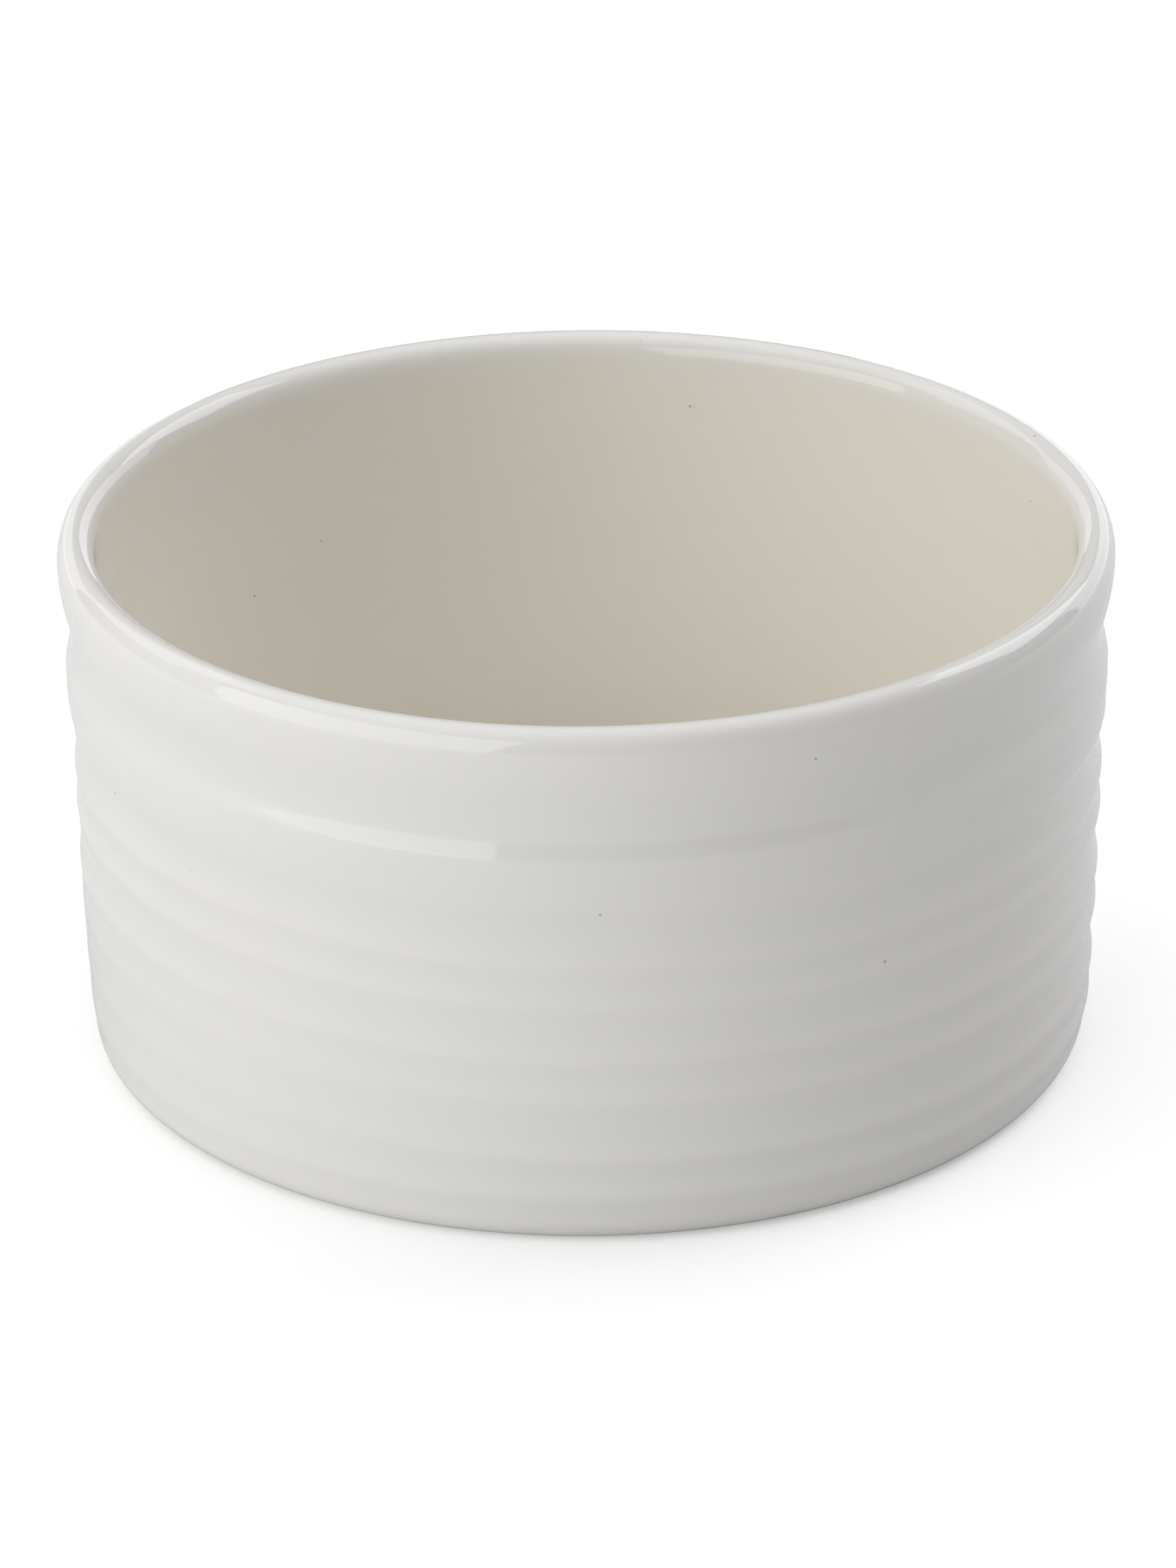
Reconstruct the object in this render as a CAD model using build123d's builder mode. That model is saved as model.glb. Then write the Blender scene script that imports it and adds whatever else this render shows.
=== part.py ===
"""Porcelain shaving bowl.

One slip-cast, glazed piece: a nearly straight wall with soft ripples outside and a plain
inside, a fully rounded lip, a small rounded heel and a shallow recess under the floor.

Millimetres, +Z up. The origin is on the axis of the bowl, in the plane it rests on.
"""

from build123d import *
import os

os.makedirs("parts", exist_ok=True)

# ---------------------------------------------------------------- overall sizes
height = 50.0  # resting plane to the top of the lip
rim_diameter = 96.0  # outside, at the lip
foot_diameter = 92.4  # outside, just above the heel

# ---------------------------------------------------------------- wall and floor
lip_thickness = 3.4  # the lip is a full half-round of this thickness
foot_wall_thickness = 4.0  # wall at the level of the floor
floor_thickness = 3.6  # above the recess
floor_corner_radius = 5.0  # inside, where the wall runs into the floor

# ---------------------------------------------------------------- collar under the lip
# drop: how far below the top of the lip; inset: how far inside the radius of the lip
waist_drop = 9.3
waist_inset = 0.8
shoulder_drop = 13.4
shoulder_inset = 0.42
groove_drop = 19.5
groove_inset = 1.05

# ---------------------------------------------------------------- ripples
ripple_count = 6
ripple_depth = 0.36  # crest over valley
half_wave_handle = 0.364  # of a half wave's height: makes it follow a sine

# ---------------------------------------------------------------- heel and foot ring
heel_radius = 2.2
foot_ring_width = 4.5  # flat band that the bowl stands on
recess_depth = 1.4
recess_corner_radius = 0.6  # inside the recess, at its edge
ring_edge_radius = 0.4  # inner edge of the foot ring

# ---------------------------------------------------------------- levels and radii that follow
rim_radius = rim_diameter / 2
foot_radius = foot_diameter / 2
lip_radius = lip_thickness / 2
lip_level = height - lip_radius
groove_level = height - groove_drop
floor_level = recess_depth + floor_thickness
inner_foot_radius = foot_radius - foot_wall_thickness
ring_outer_radius = foot_radius - heel_radius
ring_inner_radius = ring_outer_radius - foot_ring_width


def upright_points():
    """Radius and level of each place where the outer wall stands upright, from the foot up.

    These are the valleys and crests of the ripples, then groove, shoulder, waist and lip.
    """
    pitch = (groove_level - heel_radius) / ripple_count
    lean = (rim_radius - groove_inset - foot_radius) / ripple_count
    points = []
    for ripple in range(ripple_count):
        valley = (foot_radius + ripple * lean, heel_radius + ripple * pitch)
        crest = (valley[0] + lean / 2 + ripple_depth, valley[1] + pitch / 2)
        points += [valley, crest]
    points.append((rim_radius - groove_inset, groove_level))
    points.append((rim_radius - shoulder_inset, height - shoulder_drop))
    points.append((rim_radius - waist_inset, height - waist_drop))
    points.append((rim_radius, lip_level))
    return points


def half_wave(lower, upper):
    """A smooth run of wall between two upright places, close to half a wave of a sine."""
    handle = half_wave_handle * (upper[1] - lower[1])
    return Bezier(lower, (lower[0], lower[1] + handle), (upper[0], upper[1] - handle), upper)


def nearest_corner(sketch, radius, level):
    """The corner of a half section that is nearest to a radius and a level."""
    return sketch.vertices().sort_by_distance((radius, level))[0]


with BuildPart() as bowl:
    with BuildSketch(Plane.XZ) as section:
        with BuildLine():
            outline = upright_points()
            for lower, upper in zip(outline, outline[1:]):
                half_wave(lower, upper)
            lip = CenterArc((rim_radius - lip_radius, lip_level), lip_radius, 0, 180)
            inner_wall = TangentArc(
                lip @ 1, (inner_foot_radius, floor_level), tangent=(0, -1)
            )
            Polyline(
                inner_wall @ 1,
                (0, floor_level),
                (0, recess_depth),
                (ring_inner_radius, recess_depth),
                (ring_inner_radius, 0),
                (ring_outer_radius, 0),
            )
            TangentArc((ring_outer_radius, 0), (foot_radius, heel_radius), tangent=(1, 0))
        make_face()

        fillet(nearest_corner(section, inner_foot_radius, floor_level), floor_corner_radius)
        fillet(nearest_corner(section, ring_inner_radius, recess_depth), recess_corner_radius)
        fillet(nearest_corner(section, ring_inner_radius, 0), ring_edge_radius)
    revolve(axis=Axis.Z)

bowl.part.label = "bowl"
export_step(bowl.part, "parts/bowl.step")
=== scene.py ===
"""Looks of the porcelain shaving bowl: its thrown wall, its glaze and its bare foot.

Everything is in metres, +Z up, with the origin on the axis of the bowl in the plane it
rests on, as in the frame that is loaded first.
"""

import sys
import logging
import math
from collections.abc import Callable, Sequence
from dataclasses import dataclass, field
from enum import Enum

import bmesh
import bpy
import numpy as np
from mathutils import Matrix, Vector


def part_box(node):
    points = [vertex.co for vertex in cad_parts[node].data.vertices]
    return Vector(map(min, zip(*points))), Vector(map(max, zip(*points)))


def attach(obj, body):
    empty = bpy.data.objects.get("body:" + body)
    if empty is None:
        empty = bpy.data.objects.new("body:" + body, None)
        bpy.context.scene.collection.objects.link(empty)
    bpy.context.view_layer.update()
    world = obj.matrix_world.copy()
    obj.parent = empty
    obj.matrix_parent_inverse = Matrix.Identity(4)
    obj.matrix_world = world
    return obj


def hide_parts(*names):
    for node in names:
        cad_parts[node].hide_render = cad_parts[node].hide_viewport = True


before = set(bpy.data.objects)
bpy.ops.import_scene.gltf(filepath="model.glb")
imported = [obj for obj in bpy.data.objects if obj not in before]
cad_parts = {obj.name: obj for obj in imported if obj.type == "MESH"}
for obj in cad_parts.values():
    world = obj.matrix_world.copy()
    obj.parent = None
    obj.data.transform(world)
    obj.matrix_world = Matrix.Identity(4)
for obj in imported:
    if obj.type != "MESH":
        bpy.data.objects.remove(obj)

MM = 0.001
FULL_TURN = 2 * math.pi
FULLY_ROUND = 0.5
LOG = logging.getLogger("shaving_bowl")

Point = tuple[float, float]
Colour = tuple[float, float, float]
Socket = bpy.types.NodeSocket


# ------------------------------------------------------------------ small helpers


def start_clean() -> None:
    """Leave edit mode and deselect everything, so that an operator acts on one piece only."""
    if bpy.context.object and bpy.context.object.mode != "OBJECT":
        bpy.ops.object.mode_set(mode="OBJECT")
    bpy.ops.object.select_all(action="DESELECT")


def smooth_step(value: np.ndarray, low: float, high: float) -> np.ndarray:
    """0 below low, 1 above high, and a smooth rise between them."""
    share = np.clip((value - low) / (high - low), 0, 1)
    return share * share * (3 - 2 * share)


def ramp(share: np.ndarray, blend: float) -> np.ndarray:
    """A rise from 0 to 1 with a straight middle and rounded ends.

    Args:
        share: how far along the rise, which starts at 0 and ends at 1.
        blend: part of the rise taken up by each rounded end, up to a half.

    Returns:
        The height reached at each place.
    """
    start = np.clip(share, 0, blend)
    middle = np.clip(share - blend, 0, 1 - 2 * blend)
    end = np.clip(share - 1 + blend, 0, blend)
    return (start**2 / (2 * blend) + middle + end - end**2 / (2 * blend)) / (1 - blend)


# ------------------------------------------------------------------ finishes


class Zone(Enum):
    """The surfaces of the bowl, by the material slot of its mesh."""

    GLAZED = 0
    BARE_FOOT = 1


class Bench:
    """A material's node tree, with short calls for adding and joining nodes."""

    def __init__(self, name: str) -> None:
        """Start an empty material.

        Args:
            name: the material's name.
        """
        self.material = bpy.data.materials.new(name)
        self.material.use_nodes = True
        self.tree = self.material.node_tree
        self.tree.nodes.clear()
        self.output = self.tree.nodes.new("ShaderNodeOutputMaterial")
        self.place = self.tree.nodes.new("ShaderNodeTexCoord").outputs["Object"]

    def feed(self, socket: Socket, value: object) -> None:
        """Link a socket to another one, or set its value."""
        if isinstance(value, Socket):
            self.tree.links.new(value, socket)
        elif socket.type == "RGBA" and len(value) == 3:
            socket.default_value = (*value, 1.0)
        else:
            socket.default_value = value

    def node(self, kind: str, **values: object) -> bpy.types.Node:
        """Add a node.

        Args:
            kind: the node's type name.
            values: node properties, or values or sockets for its inputs by the input's name,
                in lower case with underscores.

        Returns:
            The node.
        """
        made = self.tree.nodes.new(kind)
        sockets = {socket.name.lower().replace(" ", "_"): socket for socket in reversed(made.inputs)}
        for name, value in values.items():
            if name in sockets:
                self.feed(sockets[name], value)
            else:
                setattr(made, name, value)
        return made

    def noise(self, scale: float, detail: float, roughness: float = 0.5) -> Socket:
        """A noise over the piece's own coordinates, from 0 to 1; scale is in waves per metre."""
        kind = "ShaderNodeTexNoise"
        made = self.node(kind, vector=self.place, scale=scale, detail=detail, roughness=roughness)
        return made.outputs["Fac"]

    def ranged(self, value: Socket, source: Point, target: Point) -> Socket:
        """Map a value from one range to another, clamped."""
        limits = {"from_min": source[0], "from_max": source[1], "to_min": target[0], "to_max": target[1]}
        return self.node("ShaderNodeMapRange", value=value, **limits).outputs["Result"]

    def maths(self, operation: str, first: object, second: object) -> Socket:
        """One sum of two values or sockets."""
        made = self.tree.nodes.new("ShaderNodeMath")
        made.operation = operation
        self.feed(made.inputs[0], first)
        self.feed(made.inputs[1], second)
        return made.outputs[0]

    def blend(self, share: Socket, first: object, second: object) -> Socket:
        """Mix two colours or colour sockets by a share from 0 to 1."""
        made = self.tree.nodes.new("ShaderNodeMix")
        made.data_type = "RGBA"
        self.feed(made.inputs[0], share)
        self.feed(made.inputs[6], first)
        self.feed(made.inputs[7], second)
        return made.outputs[2]

    def finish(self, shader: bpy.types.Node) -> bpy.types.Material:
        """Join the shader to the output and hand over the material."""
        self.tree.links.new(shader.outputs[0], self.output.inputs["Surface"])
        return self.material


@dataclass(frozen=True)
class PorcelainGlaze:
    """Clear glaze over white porcelain: glossy, a touch warm, faintly cloudy, with rare iron specks; the
    inside of the mouth is painted warmer and darker as painted shade.
    """

    thin: Colour = (0.872, 0.862, 0.828)
    pooled: Colour = (0.85, 0.846, 0.812)
    warm: Colour = (0.868, 0.85, 0.806)
    # painted shade: warmer, darker colour given to the inside of the mouth for the shade and warm bounce
    # light of its hollow
    shaded_inside: Colour = (0.874, 0.841, 0.762)
    speck: Colour = (0.33, 0.29, 0.24)
    cloud_scale: float = 26.0
    cloud_band: Point = (0.4, 0.66)
    cloud_share: float = 0.5
    mottle_scale: float = 520.0
    mottle_band: Point = (0.35, 0.7)
    mottle_share: float = 0.35
    speck_scale: float = 170.0
    speck_edge: Point = (0.016, 0.0288)
    speck_share: float = 0.75
    gloss_scale: float = 104.0
    gloss_band: Point = (0.3, 0.7)
    gloss: Point = (0.03, 0.06)
    swell_scale: float = 120.0
    swell_depth: float = 0.009 * MM
    ior: float = 1.5

    def build(self) -> bpy.types.Material:
        """Make the material.

        Returns:
            The glaze.
        """
        bench = Bench("porcelain_glaze")
        pool = bench.node("ShaderNodeAttribute", attribute_name="glaze_pool").outputs["Fac"]
        cloud = bench.ranged(bench.noise(self.cloud_scale, 3.0), self.cloud_band, (0.0, self.cloud_share))
        mottle = bench.noise(self.mottle_scale, 3.0)
        mottle = bench.ranged(mottle, self.mottle_band, (0.0, self.mottle_share))
        # painted shade: from just under the lip down, the inside of the mouth is mixed towards a warmer,
        # darker colour
        inside = bench.node("ShaderNodeAttribute", attribute_name="glaze_inside").outputs["Fac"]
        colour = bench.blend(pool, self.thin, self.pooled)
        colour = bench.blend(cloud, colour, self.warm)
        colour = bench.blend(inside, colour, self.shaded_inside)
        colour = bench.blend(mottle, colour, self.pooled)
        colour = bench.blend(self.specks(bench), colour, self.speck)
        gloss = bench.ranged(bench.noise(self.gloss_scale, 4.0, 0.6), self.gloss_band, self.gloss)
        swell = bench.noise(self.swell_scale, 1.0)
        surface = bench.node("ShaderNodeBump", height=swell, distance=self.swell_depth, strength=1.0)
        shader = bench.node(
            "ShaderNodeBsdfPrincipled",
            base_color=colour,
            roughness=gloss,
            ior=self.ior,
            normal=surface.outputs["Normal"],
        )
        return bench.finish(shader)

    def specks(self, bench: Bench) -> Socket:
        """Tiny, sparse iron specks.

        Args:
            bench: the node tree to add to.

        Returns:
            How much a speck covers: most of its middle, and nothing outside it.
        """
        cells = bench.node("ShaderNodeTexVoronoi", vector=bench.place, scale=self.speck_scale)
        return bench.ranged(cells.outputs["Distance"], self.speck_edge, (self.speck_share, 0.0))


@dataclass(frozen=True)
class BareBiscuit:
    """Unglazed porcelain where the foot ring stood in the kiln: matt, with a little grit."""

    clean: Colour = (0.78, 0.765, 0.73)
    scuffed: Colour = (0.6, 0.585, 0.555)
    scuff_scale: float = 260.0
    scuff_band: Point = (0.5, 0.72)
    scuff_share: float = 0.8
    grain_scale: float = 4200.0
    grain_depth: float = 0.02 * MM
    grain_band: Point = (0.3, 0.7)
    roughness: Point = (0.72, 0.9)
    ior: float = 1.5

    def build(self) -> bpy.types.Material:
        """Make the material.

        Returns:
            The bare porcelain.
        """
        bench = Bench("bare_biscuit")
        scuffs = bench.noise(self.scuff_scale, 6.0, 0.65)
        scuffs = bench.ranged(scuffs, self.scuff_band, (0.0, self.scuff_share))
        grain = bench.noise(self.grain_scale, 3.0)
        surface = bench.node("ShaderNodeBump", height=grain, distance=self.grain_depth, strength=1.0)
        shader = bench.node(
            "ShaderNodeBsdfPrincipled",
            base_color=bench.blend(scuffs, self.clean, self.scuffed),
            roughness=bench.ranged(grain, self.grain_band, self.roughness),
            ior=self.ior,
            normal=surface.outputs["Normal"],
        )
        return bench.finish(shader)


# ------------------------------------------------------------------ the bowl


@dataclass(frozen=True)
class Ridge:
    """One soft ridge round the wall, left standing between two finger grooves.

    The left share is the part of its height that it keeps on the -X side, and the tilt is
    how far it climbs on the side of the wall's tilt azimuth.
    """

    drop: float
    height: float
    left_share: float
    tilt: float


@dataclass
class ThrownWall:
    """Outer face of the wall as the potter left it: flared lip, waist, ledge and finger grooves.

    Drops are distances below the top of the lip, and insets are measured in from the rim.
    Azimuth 0 is the -Y side of the bowl and grows towards +X.
    """

    lip_fall: float = 2.7 * MM
    waist_drop: float = 10.15 * MM
    waist_inset: float = 0.95 * MM
    ledge_drop: float = 12.65 * MM
    ledge_inset: float = 0.41 * MM
    ledge_blend: float = 0.16
    shoulder_drop: float = 13.9 * MM
    shoulder_inset: float = 0.4 * MM
    groove_drop: float = 20.0 * MM
    groove_inset: float = 1.04 * MM
    heel_drop: float = 47.8 * MM
    heel_inset: float = 1.864 * MM
    first_ridge: float = 13.1 * MM
    pair_spacing: float = 9.5 * MM
    finger_spacing: float = 3.9 * MM
    pairs: int = 4
    ridge_height: float = 0.33 * MM
    first_height_share: float = 0.8
    left_share: float = 0.55
    ridge_half_width: float = 1.05 * MM
    tilt: float = 0.65 * MM
    tilt_shares: Point = (1.25, 0.8)
    tilt_azimuth: float = math.radians(-60)
    level_ridges: int = 3
    wobble: float = 0.12 * MM
    wobble_phases: Point = (1.7, 2.9)
    plain_azimuth: float = math.radians(-105)
    plain_spread: Point = (math.radians(10), math.radians(150))
    plain_drop: Point = (29 * MM, 35 * MM)
    plain_height: float = 0.17 * MM
    plain_share: float = 0.85
    sway: float = 0.03 * MM
    sway_climb: Point = (40.0, 90.0)

    def outline(self, drop: np.ndarray) -> np.ndarray:
        """Inset of the plain wall, which swings from one upright place to the next.

        Args:
            drop: distances below the top of the lip.

        Returns:
            The insets from the rim.
        """
        upright = (
            (self.lip_fall, 0.0, FULLY_ROUND),
            (self.waist_drop, self.waist_inset, self.ledge_blend),
            (self.ledge_drop, self.ledge_inset, FULLY_ROUND),
            (self.shoulder_drop, self.shoulder_inset, FULLY_ROUND),
            (self.groove_drop, self.groove_inset, FULLY_ROUND),
        )
        inset = np.zeros_like(drop)
        for (upper, before, blend), (lower, after, _) in zip(upright, upright[1:]):
            inset += (after - before) * ramp((drop - upper) / (lower - upper), blend)
        taper = np.clip((drop - self.groove_drop) / (self.heel_drop - self.groove_drop), 0, 1)
        return inset + (self.heel_inset - self.groove_inset) * taper**2

    def ridges(self) -> list[Ridge]:
        """The ridges below the shoulder, two for each pass of the fingers.

        Returns:
            The ridges in order.
        """
        made = []
        for number in range(1, 2 * self.pairs):
            pair, finger = divmod(number, 2)
            drop = self.first_ridge + pair * self.pair_spacing + finger * self.finger_spacing
            height = self.ridge_height * (self.first_height_share if number == 1 else 1.0)
            left_share = 0.0 if number == 1 else self.left_share
            tilt = self.tilt * min(1.0, number / self.level_ridges) * self.tilt_shares[finger]
            made.append(Ridge(drop, height, left_share, tilt))
        return made

    def strength(self, drop: np.ndarray, azimuth: np.ndarray) -> np.ndarray:
        """How clearly the grooves are cut: they run out low on the left side.

        Args:
            drop: distances below the top of the lip.
            azimuth: directions of the same places.

        Returns:
            The share of the full relief at each place.
        """
        away = np.abs(np.angle(np.exp(1j * (azimuth - self.plain_azimuth))))
        plain = 1 - smooth_step(away, *self.plain_spread)
        return 1 - self.plain_share * plain * smooth_step(drop, *self.plain_drop)

    def relief(self, drop: np.ndarray, azimuth: np.ndarray) -> tuple[np.ndarray, np.ndarray]:
        """How far the ridges stand out over the plain outline.

        Args:
            drop: distances below the top of the lip.
            azimuth: directions of the same places.

        Returns:
            The relief, and how much glaze has pooled there, from 0 on a ridge to 1 in a groove.
        """
        slow, fast = self.wobble_phases  # uneven, so that no two ridges wander together
        standing = np.zeros_like(drop)
        for number, ridge in enumerate(self.ridges(), start=1):
            lean = ridge.tilt * np.cos(azimuth - self.tilt_azimuth)
            lean += self.wobble * np.sin(2 * azimuth + slow * number) * min(1, number / 2)
            lean += 0.5 * self.wobble * np.sin(5 * azimuth + fast * number)
            off = (drop - ridge.drop + lean) / self.ridge_half_width
            right = (1 + np.sin(azimuth)) / 2
            height = ridge.height * (ridge.left_share + (1 - ridge.left_share) * right)
            standing += height * np.exp(-(off**2))
        strength = self.strength(drop, azimuth)
        rippled = strength * standing + (1 - strength) * self.plain_height
        rise, fall = self.sway_climb
        sway = np.sin(2 * azimuth + rise * drop + 0.4) + 0.6 * np.sin(3 * azimuth - fall * drop + 2.1)
        return rippled + self.sway * sway, 1 - np.clip(strength * standing / self.ridge_height, 0, 1)


@dataclass
class Bowl:
    """The bowl: lip, thrown wall, heel, foot ring, recess and plain inside, in one closed shell."""

    rim_radius: float
    height: float
    lip_thickness: float = 3.4 * MM
    lip_steps: int = 14
    inner_fall: float = 2.1 * MM
    foot_radius: float = 46.05 * MM
    foot_wall_thickness: float = 4.0 * MM
    heel_radius: float = 2.2 * MM
    foot_ring_width: float = 4.5 * MM
    ring_edge_radius: float = 0.4 * MM
    recess_depth: float = 1.4 * MM
    recess_corner_radius: float = 0.6 * MM
    heel_segments: int = 12
    ring_edge_segments: int = 4
    recess_corner_segments: int = 5
    floor_corner_segments: int = 14
    floor_level: float = 5.0 * MM
    floor_corner_radius: float = 5.0 * MM
    inner_line_height: float = 0.02 * MM
    inner_line_spacing: float = 3.3 * MM
    outer_rows: int = 124
    inner_rows: int = 40
    floor_rings: int = 10
    turns: int = 384
    touching: float = 0.002 * MM
    parting: float = 0.4 * MM
    # painted shade: drops below the lip over which the inside fades into its warmer, darker painted colour
    shade_drop: Point = (0.3 * MM, 4 * MM)
    wall: ThrownWall = field(default_factory=ThrownWall)
    glaze: PorcelainGlaze = field(default_factory=PorcelainGlaze)
    biscuit: BareBiscuit = field(default_factory=BareBiscuit)

    @property
    def lip_radius(self) -> float:
        """Half the thickness of the lip."""
        return self.lip_thickness / 2

    @property
    def crown_radius(self) -> float:
        """Radius of the ring along the top of the lip."""
        return self.rim_radius - self.lip_radius

    @property
    def mouth_radius(self) -> float:
        """Radius of the opening, just under the lip."""
        return self.rim_radius - self.lip_thickness

    @property
    def inner_foot_radius(self) -> float:
        """Radius of the inside where its wall would meet the floor."""
        return self.foot_radius - self.foot_wall_thickness

    @property
    def wall_middle_radius(self) -> float:
        """A radius inside the wall all the way down, between its outer and its inner face."""
        return self.mouth_radius + self.parting

    @property
    def ring_inner_radius(self) -> float:
        """Inner edge of the flat band that the bowl stands on."""
        return self.foot_radius - self.heel_radius - self.foot_ring_width

    def select(self, piece: bpy.types.Object, chosen: Callable[[Vector], bool]) -> None:
        """Select vertices by their place, and the edges between them.

        Args:
            piece: the piece in edit mode.
            chosen: says of a place whether it is wanted.
        """
        mesh = bmesh.from_edit_mesh(piece.data)
        for vertex in mesh.verts:
            vertex.select = chosen(vertex.co)
        mesh.select_flush_mode()
        mesh.select_flush(True)
        bmesh.update_edit_mesh(piece.data)

    def select_near(self, piece: bpy.types.Object, reach: float, *spots: Point) -> None:
        """Select the vertices within reach of some places, given as radius and level."""
        places = [Vector((radius, 0, level)) for radius, level in spots]
        self.select(piece, lambda spot: any((spot - place).length < reach for place in places))

    def turn_lip(self) -> bpy.types.Object:
        """Make the lip's section: the upper half of a ring, drawn down a little to both sides.

        Returns:
            The piece, in edit mode.
        """
        start_clean()
        centre = (self.crown_radius, 0, self.height - self.lip_radius)
        bpy.ops.mesh.primitive_circle_add(
            vertices=4 * self.lip_steps,
            radius=self.lip_radius,
            location=centre,
            rotation=(math.pi / 2, 0, 0),
        )
        bpy.ops.object.transform_apply(location=True, rotation=True, scale=True)
        piece = bpy.context.object
        piece.name = "bowl_glazed"
        piece.data.name = "bowl_glazed"
        bpy.ops.object.mode_set(mode="EDIT")
        bpy.ops.mesh.select_mode(type="VERT")
        bpy.ops.mesh.select_all(action="SELECT")
        bpy.ops.mesh.bisect(plane_co=centre, plane_no=(0, 0, 1), clear_inner=True)
        crown = (self.crown_radius, 0, self.height)
        for side, fall in ((1, self.wall.lip_fall), (-1, self.inner_fall)):
            self.select(piece, lambda spot: (spot.x - self.crown_radius) * side > self.touching)
            bpy.ops.transform.resize(value=(1, 1, fall / self.lip_radius), center_override=crown)
        return piece

    def draw_line(self, piece: bpy.types.Object, spots: Sequence[Point]) -> None:
        """Extrude the outline from its first place through the others.

        Args:
            piece: the piece in edit mode.
            spots: radius and level of the open end and of each corner after it.
        """
        self.select_near(piece, self.touching, spots[0])
        for (radius, level), (next_radius, next_level) in zip(spots, spots[1:]):
            step = (next_radius - radius, 0, next_level - level)
            bpy.ops.mesh.extrude_region_move(TRANSFORM_OT_translate={"value": step})

    def round_corner(self, piece: bpy.types.Object, corner: Point, radius: float, segments: int) -> None:
        """Round one corner of the outline.

        Args:
            piece: the piece in edit mode.
            corner: radius and level of the corner.
            radius: radius of the round.
            segments: number of edges along it.
        """
        self.select_near(piece, self.touching, corner)
        bpy.ops.mesh.bevel(offset=radius, segments=segments, affect="VERTICES", profile=0.5)

    def divide_run(self, piece: bpy.types.Object, ends: Sequence[Point], rows: int) -> None:
        """Divide a straight run of the outline into rows.

        Args:
            piece: the piece in edit mode.
            ends: radius and level of its two ends, to within a fraction of a millimetre.
            rows: number of rows.
        """
        mesh = bmesh.from_edit_mesh(piece.data)
        nearest = []
        for radius, level in ends:
            place = Vector((radius, 0, level))
            nearest.append(min(mesh.verts, key=lambda vertex: (vertex.co - place).length).co.copy())
        self.select(piece, lambda spot: any((spot - end).length < self.touching for end in nearest))
        bpy.ops.mesh.subdivide(number_cuts=rows - 1)

    def draw_outline(self, piece: bpy.types.Object) -> None:
        """Draw the outline on from the lip, down the outside and down the inside to the axis."""
        lip_end = (self.rim_radius, self.height - self.wall.lip_fall)
        mouth = (self.mouth_radius, self.height - self.inner_fall)
        ring, recess, level = self.ring_inner_radius, self.recess_depth, self.floor_level
        heel, floor = (self.foot_radius, 0.0), (self.inner_foot_radius, level)
        self.draw_line(piece, [lip_end, heel, (ring, 0.0), (ring, recess), (0.0, recess)])
        self.draw_line(piece, [mouth, floor, (0.0, level)])
        for corner, radius, segments in (
            (heel, self.heel_radius, self.heel_segments),
            ((ring, 0.0), self.ring_edge_radius, self.ring_edge_segments),
            ((ring, recess), self.recess_corner_radius, self.recess_corner_segments),
            (floor, self.floor_corner_radius, self.floor_corner_segments),
        ):
            self.round_corner(piece, corner, radius, segments)
        lean = (self.rim_radius - self.foot_radius) / lip_end[1]
        heel_top = (self.foot_radius + self.heel_radius * lean, self.heel_radius)
        lean = (self.mouth_radius - self.inner_foot_radius) / (mouth[1] - level)
        corner = self.floor_corner_radius
        corner_top = (self.inner_foot_radius + corner * lean, level + corner)
        corner_end = (self.inner_foot_radius - corner, level)
        self.divide_run(piece, (lip_end, heel_top), self.outer_rows)
        self.divide_run(piece, (mouth, corner_top), self.inner_rows)
        self.divide_run(piece, (corner_end, (0.0, level)), self.floor_rings)
        self.divide_run(piece, ((ring - self.recess_corner_radius, recess), (0.0, recess)), self.floor_rings)

    def spin_round(self) -> None:
        """Turn the outline round the axis into a closed shell with its faces outwards."""
        bpy.ops.mesh.select_all(action="SELECT")
        bpy.ops.mesh.spin(steps=self.turns, angle=FULL_TURN, center=(0, 0, 0), axis=(0, 0, 1))
        bpy.ops.mesh.select_all(action="SELECT")
        bpy.ops.mesh.remove_doubles(threshold=self.touching)
        bpy.ops.mesh.normals_make_consistent(inside=False)
        bpy.ops.object.mode_set(mode="OBJECT")

    def throw_walls(self, piece: bpy.types.Object) -> None:
        """Press the two plain walls to their thrown shape, note where the glaze pools, and mark the inside
        of the mouth for its painted shade.
        """
        mesh = piece.data
        places = np.empty(len(mesh.vertices) * 3)
        mesh.vertices.foreach_get("co", places)
        places = places.reshape(-1, 3)
        radius = np.hypot(places[:, 0], places[:, 1])
        azimuth = np.arctan2(places[:, 0], -places[:, 1])
        drop = self.height - places[:, 2]

        relief, pooled = self.wall.relief(drop, azimuth)
        marked = smooth_step(drop, self.wall.lip_fall, self.wall.waist_drop)
        marked *= smooth_step(places[:, 2], self.heel_radius, 2 * self.heel_radius)
        thrown = self.rim_radius - self.wall.outline(drop) + relief * marked
        low_end = self.height - self.heel_radius + self.touching
        on_outer = (radius > self.wall_middle_radius) & (drop > self.wall.lip_fall) & (drop < low_end)
        new_radius = np.where(on_outer, thrown, radius)

        depth = self.height - self.inner_fall - self.floor_level - self.floor_corner_radius
        run = np.clip((drop - self.inner_fall) / depth, 0, 1)
        lean = (self.mouth_radius - self.inner_foot_radius) / (depth + self.floor_corner_radius)
        bow = lean * depth * run * (1 - run) ** 2
        lines = np.sin(FULL_TURN * drop / self.inner_line_spacing + 0.8 * np.sin(azimuth))
        lines *= self.inner_line_height * np.sin(math.pi * run)
        on_inner = (radius > self.inner_foot_radius) & (radius < self.wall_middle_radius)
        on_inner &= (run > 0) & (run < 1)
        new_radius += np.where(on_inner, bow + lines, 0)

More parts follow.
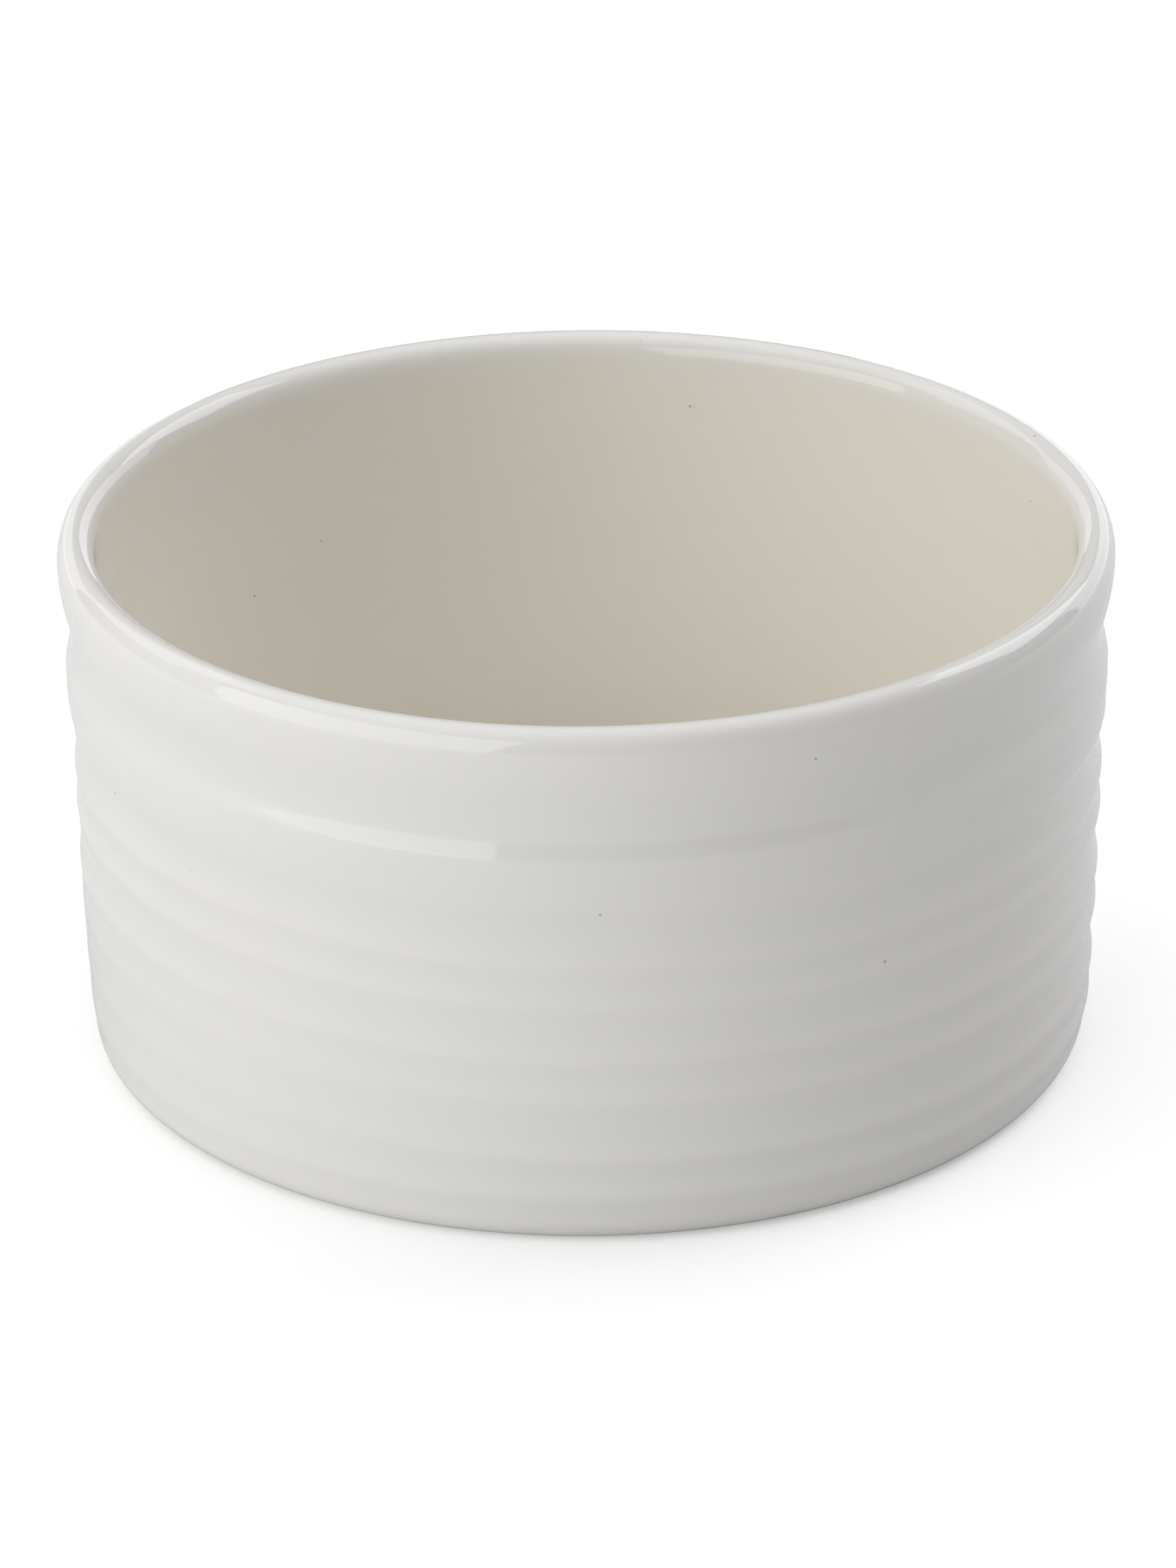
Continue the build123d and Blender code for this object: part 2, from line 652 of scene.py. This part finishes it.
        level = places[:, 2]
        places[:, :2] *= (new_radius / np.maximum(radius, self.touching))[:, None]
        mesh.vertices.foreach_set("co", places.ravel())
        pool = mesh.attributes.new("glaze_pool", "FLOAT", "POINT")
        pool.data.foreach_set("value", np.where(on_outer, pooled * marked, 0).astype(np.float32))
        # painted shade: mark the inside of the mouth, from just under the lip down, for its warmer, darker
        # painted colour
        in_mouth = (radius < self.crown_radius) & ~on_outer & (level > self.floor_level - self.touching)
        inside = np.where(in_mouth, smooth_step(drop, *self.shade_drop), 0)
        shaded_inside = mesh.attributes.new("glaze_inside", "FLOAT", "POINT")
        shaded_inside.data.foreach_set("value", inside.astype(np.float32))
        mesh.update()

    def dress(self, piece: bpy.types.Object) -> None:
        """Glaze the bowl, leave its foot ring bare, and smooth its shading."""
        mesh = piece.data
        mesh.materials.append(self.glaze.build())
        mesh.materials.append(self.biscuit.build())
        bare_level = self.ring_edge_radius / 3
        bare_edge = self.ring_inner_radius - self.touching
        for face in mesh.polygons:
            on_ring = math.hypot(face.center.x, face.center.y) > bare_edge and face.center.z < bare_level
            face.material_index = (Zone.BARE_FOOT if on_ring else Zone.GLAZED).value
        start_clean()
        piece.select_set(True)
        bpy.context.view_layer.objects.active = piece
        bpy.ops.object.shade_smooth()

    def build(self) -> bpy.types.Object:
        """Model and dress the bowl.

        Returns:
            The finished piece.
        """
        piece = self.turn_lip()
        self.draw_outline(piece)
        self.spin_round()
        self.throw_walls(piece)
        self.dress(piece)
        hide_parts("bowl")
        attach(piece, "root")
        return piece


# ------------------------------------------------------------------ the studio


@dataclass(frozen=True)
class SoftLight:
    """A rectangular soft light that looks at a point of the bowl.

    Its azimuth and elevation are in degrees as seen from that point; azimuth 0 is the -Y side.
    """

    name: str
    azimuth: float
    elevation: float
    distance: float
    size: Point
    radiance: float
    colour: Colour = (1.0, 1.0, 1.0)

    def place(self, target: Vector) -> None:
        """Add the light, itself unseen by the camera.

        Args:
            target: the point it looks at.
        """
        start_clean()
        azimuth, elevation = math.radians(self.azimuth), math.radians(self.elevation)
        level = math.cos(elevation)
        away = Vector((math.sin(azimuth) * level, -math.cos(azimuth) * level, math.sin(elevation)))
        bpy.ops.object.light_add(type="AREA", location=target + away * self.distance)
        lamp = bpy.context.object
        lamp.name = self.name
        lamp.rotation_euler = away.to_track_quat("Z", "Y").to_euler()
        lamp.data.shape = "RECTANGLE"
        lamp.data.size, lamp.data.size_y = self.size
        lamp.data.energy = self.radiance * math.pi * self.size[0] * self.size[1]
        lamp.data.color = self.colour
        lamp.visible_camera = False


@dataclass
class Studio:
    """Pale floor, soft lights and the camera."""

    bowl_height: float
    floor_size: float = 8.0
    floor_colour: Colour = (0.8, 0.8, 0.8)
    floor_lift: float = 0.45
    backdrop_colour: Colour = (1.0, 1.0, 1.0)
    room_colour: Colour = (0.99, 0.99, 1.0)
    ceiling_start: float = math.radians(34)
    ceiling_level: float = 1.25
    wall_level: float = 0.027
    camera_place: tuple[float, float, float] = (0.0, -0.5936, 0.2990)
    camera_pitch: float = 24.92
    camera_roll: float = 0.464
    focal_length: float = 162.8
    sensor: float = 36.0
    clip: Point = (0.01, 30.0)
    lights: tuple[SoftLight, ...] = (
        SoftLight("key_softbox", -49.5, 19, 0.75, (0.92, 0.56), 1.9),
        SoftLight("front_fill", 0, 38, 0.75, (0.5, 0.4), 0.15),
        SoftLight("back_right_fill", 122, 38, 0.75, (0.5, 0.4), 2.7, (0.96, 0.95, 1.0)),
        SoftLight("back_left_fill", -120, 38, 0.75, (0.5, 0.4), 1.1),
        SoftLight("right_screen", 148, 8, 0.75, (0.72, 0.4), 1.35, (0.95, 0.96, 1.0)),
        SoftLight("left_screen", -152, 8, 0.75, (0.5, 0.4), 0.95),
    )

    def lay_floor(self) -> None:
        """Add the floor that the bowl stands on."""
        start_clean()
        bpy.ops.mesh.primitive_plane_add(size=self.floor_size, location=(0, 0, 0))
        floor = bpy.context.object
        floor.name = "floor"
        bench = Bench("pale_floor")
        paper = bench.node("ShaderNodeBsdfDiffuse", color=self.floor_colour)
        seen = bench.node("ShaderNodeLightPath").outputs["Is Camera Ray"]
        level = bench.maths("MULTIPLY", seen, self.floor_lift)
        lift = bench.node("ShaderNodeEmission", color=self.floor_colour, strength=level)
        both = bench.tree.nodes.new("ShaderNodeAddShader")
        bench.feed(both.inputs[0], paper.outputs[0])
        bench.feed(both.inputs[1], lift.outputs[0])
        floor.data.materials.append(bench.finish(both))

    def fill_room(self) -> None:
        """Give the room a soft pale ceiling that darkens evenly to the walls, and a white backdrop."""
        world = bpy.data.worlds.new("room")
        bpy.context.scene.world = world
        world.use_nodes = True
        tree = world.node_tree
        tree.nodes.clear()
        direction = tree.nodes.new("ShaderNodeTexCoord").outputs["Generated"]
        apart = tree.nodes.new("ShaderNodeSeparateXYZ")
        ceiling = tree.nodes.new("ShaderNodeMapRange")
        ceiling.interpolation_type = "SMOOTHSTEP"
        ceiling.inputs["From Min"].default_value = math.sin(self.ceiling_start)
        ceiling.inputs["From Max"].default_value = 1.0
        ceiling.inputs["To Min"].default_value = self.wall_level
        ceiling.inputs["To Max"].default_value = self.ceiling_level
        room = tree.nodes.new("ShaderNodeBackground")
        room.inputs["Color"].default_value = (*self.room_colour, 1.0)
        backdrop = tree.nodes.new("ShaderNodeBackground")
        backdrop.inputs["Color"].default_value = (*self.backdrop_colour, 1.0)
        seen = tree.nodes.new("ShaderNodeLightPath").outputs["Is Camera Ray"]
        chosen = tree.nodes.new("ShaderNodeMixShader")
        output = tree.nodes.new("ShaderNodeOutputWorld")
        tree.links.new(direction, apart.inputs[0])
        tree.links.new(apart.outputs["Z"], ceiling.inputs["Value"])
        tree.links.new(ceiling.outputs["Result"], room.inputs["Strength"])
        tree.links.new(seen, chosen.inputs[0])
        tree.links.new(room.outputs[0], chosen.inputs[1])
        tree.links.new(backdrop.outputs[0], chosen.inputs[2])
        tree.links.new(chosen.outputs[0], output.inputs["Surface"])

    def place_camera(self) -> None:
        """Add the camera, a long lens a little above the bowl."""
        start_clean()
        bpy.ops.object.camera_add(location=self.camera_place)
        camera = bpy.context.object
        camera.name = "camera"
        tilt = Matrix.Rotation(math.radians(90 - self.camera_pitch), 4, "X")
        roll = Matrix.Rotation(math.radians(-self.camera_roll), 4, "Z")
        camera.matrix_world = Matrix.Translation(self.camera_place) @ tilt @ roll
        camera.data.lens = self.focal_length
        camera.data.sensor_fit = "AUTO"
        camera.data.sensor_width = self.sensor
        camera.data.clip_start, camera.data.clip_end = self.clip
        bpy.context.scene.camera = camera

    def build(self) -> None:
        """Set up everything round the bowl."""
        self.place_camera()
        self.lay_floor()
        self.fill_room()
        target = Vector((0, 0, self.bowl_height / 2))
        for light in self.lights:
            light.place(target)
        bpy.context.scene.view_settings.view_transform = "Standard"
        bpy.context.scene.view_settings.look = "None"


# ------------------------------------------------------------------ making


def main() -> None:
    """Build the studio and the bowl, and report each piece."""
    logging.basicConfig(level=logging.INFO, format="%(name)s: %(message)s", stream=sys.stdout)
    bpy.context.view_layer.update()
    low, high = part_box("bowl")
    Studio(bowl_height=high.z).build()
    LOG.info("studio: floor, lights and camera")
    piece = Bowl(rim_radius=(high.x - low.x) / 2, height=high.z - low.z).build()
    LOG.info("%s: %d vertices, %d faces", piece.name, len(piece.data.vertices), len(piece.data.polygons))


if __name__ == "__main__":
    main()
